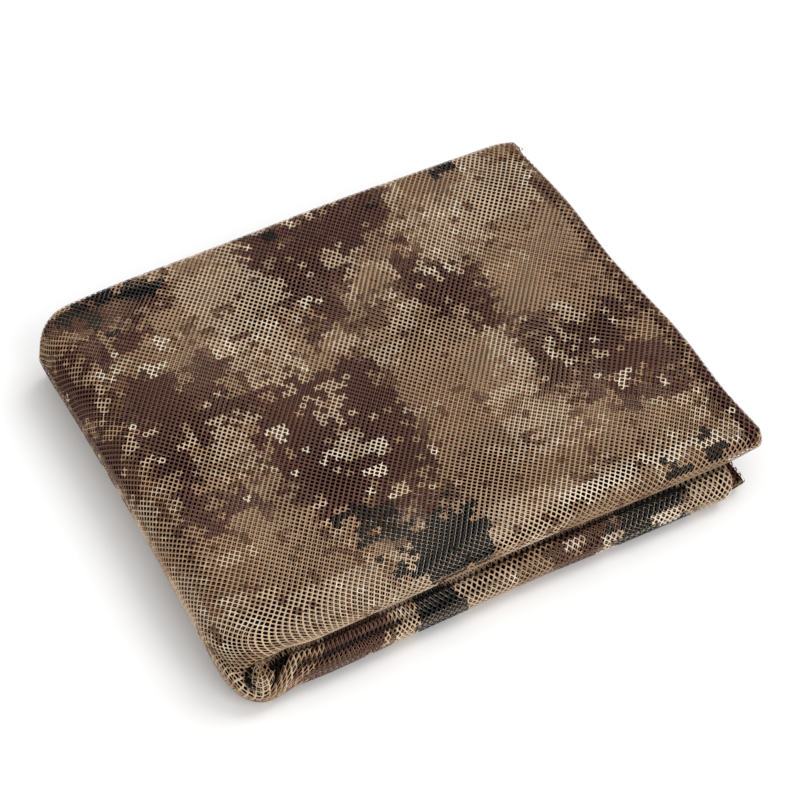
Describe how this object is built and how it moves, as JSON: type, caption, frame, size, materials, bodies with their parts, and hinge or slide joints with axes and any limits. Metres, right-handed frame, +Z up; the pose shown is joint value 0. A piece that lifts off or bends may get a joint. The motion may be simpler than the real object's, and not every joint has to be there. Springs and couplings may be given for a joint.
{
  "type": "folded camouflage net",
  "caption": "Knitted camouflage mesh net folded into a flat packet: layers wrapped by a fat front roll, then doubled over at the left end.",
  "frame": {"origin": "middle of the packet's footprint, on the surface that it lies on", "axes": "+X along the packet from its doubled-over left end to its cut right end, -Y towards the fat front roll, +Z up"},
  "size_m": [0.3155, 0.2815, 0.044],
  "materials": {
    "knitted_mesh": "matte knitted polyester mesh, printed in browns, tan and black"
  },
  "bodies": {
    "root": {"folded_net": "knitted_mesh"}
  },
  "joints": []
}
